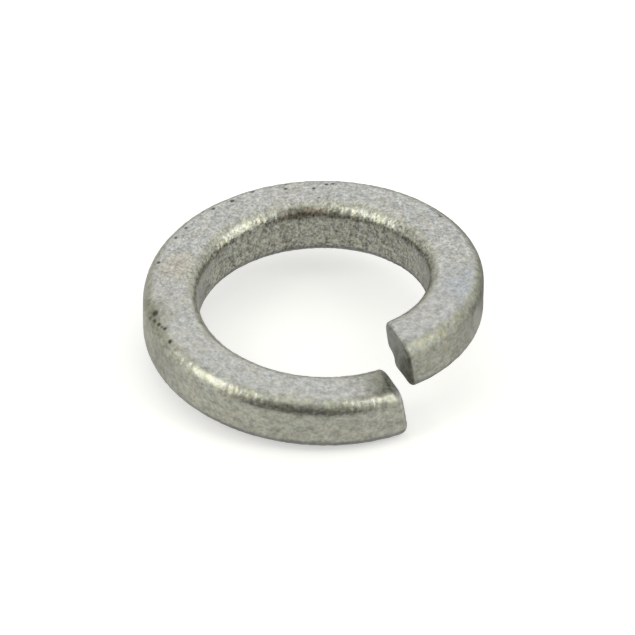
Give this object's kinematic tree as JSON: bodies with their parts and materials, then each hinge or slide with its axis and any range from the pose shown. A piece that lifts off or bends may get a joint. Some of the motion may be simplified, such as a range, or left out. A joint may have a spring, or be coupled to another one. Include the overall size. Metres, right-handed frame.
{
  "type": "spring lock washer",
  "caption": "Split spring lock washer: a left-hand turn of square-section zinc-coated steel wire whose offset, leaning ends bite and keep a bolted joint tight.",
  "frame": {"origin": "on the bore axis, level with the foot of the low end that the washer rests on", "axes": "+Z along the bore axis, up from the low end to the high end; the cut is at 54 degrees clockwise from +X seen from above, so it faces front right when -Y is the front"},
  "size_m": [0.0244, 0.0244, 0.0082],
  "materials": {
    "zinc_coated_steel": "dull grey zinc coat with fine mottling and dark pits"
  },
  "bodies": {
    "root": {"spring_washer": "zinc_coated_steel"}
  },
  "joints": []
}
